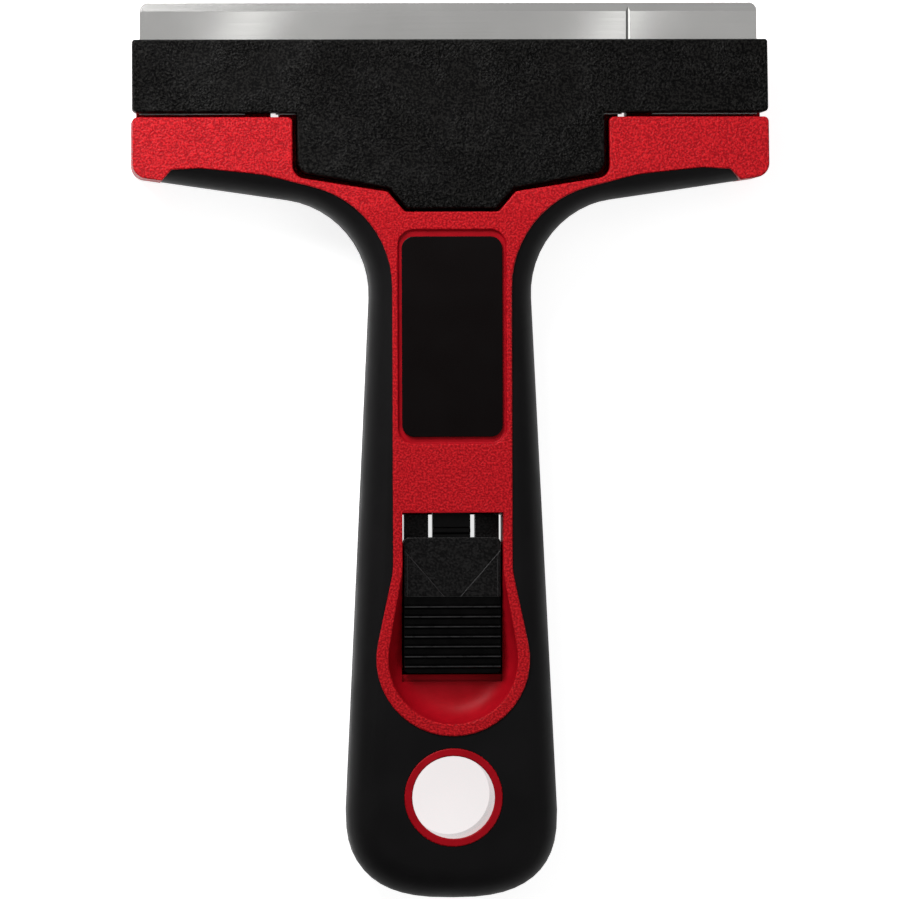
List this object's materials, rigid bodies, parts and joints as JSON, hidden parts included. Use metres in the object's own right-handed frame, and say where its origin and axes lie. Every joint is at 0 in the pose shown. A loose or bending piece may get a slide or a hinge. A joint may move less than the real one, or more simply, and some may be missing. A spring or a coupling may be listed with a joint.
{
  "type": "razor blade scraper",
  "caption": "Wide T-shaped razor blade scraper with a soft-grip handle, a sprung clamp jaw opened by a thumb button, a removable blade and a hang hole.",
  "frame": {"origin": "on the plane of the back face, in the middle of the overall length and width", "axes": "+Z out of the front face with the button, +Y from the handle's end to the blade's edge, X along the blade"},
  "size_m": [0.1044, 0.147, 0.017],
  "materials": {
    "red_shell": "fine sand-grained moulding, smooth in the thumb scoop",
    "soft_grip": "matte soft overmould",
    "label": "smooth satin, blank",
    "jaw_black": "leather-grained moulding",
    "button_black": "satin moulding with ribs",
    "lever_black": "black coated steel",
    "blade_steel": "ground spring steel",
    "spring_steel": "bright wire",
    "screw_steel": "zinc-plated"
  },
  "bodies": {
    "handle": {"front_shell": "red_shell", "rear_shell": "red_shell", "front_grip": "soft_grip", "rear_grip": "soft_grip", "label_plate": "label", "shell_screws": "screw_steel", "pivot_pin": "screw_steel", "return_spring": "spring_steel"},
    "clamp_lever": {"clamp_jaw": "jaw_black", "lever_arm": "lever_black", "thumb_button": "button_black", "lever_screws": "screw_steel"},
    "blade": {"blade": "blade_steel"}
  },
  "joints": [
    {"name": "jaw_pivot", "type": "hinge", "parent": "handle", "child": "clamp_lever", "pos_m": [0, 0.033, 0.012], "axis": [1, 0, 0], "range_deg": [0, 4], "stiffness_Nm_per_rad": 5, "springref_deg": -5.73, "deforming": ["return_spring"]},
    {"name": "blade_slide", "type": "slide", "parent": "handle", "child": "blade", "axis": [0, 1, 0], "range_m": [0, 0.02]}
  ]
}
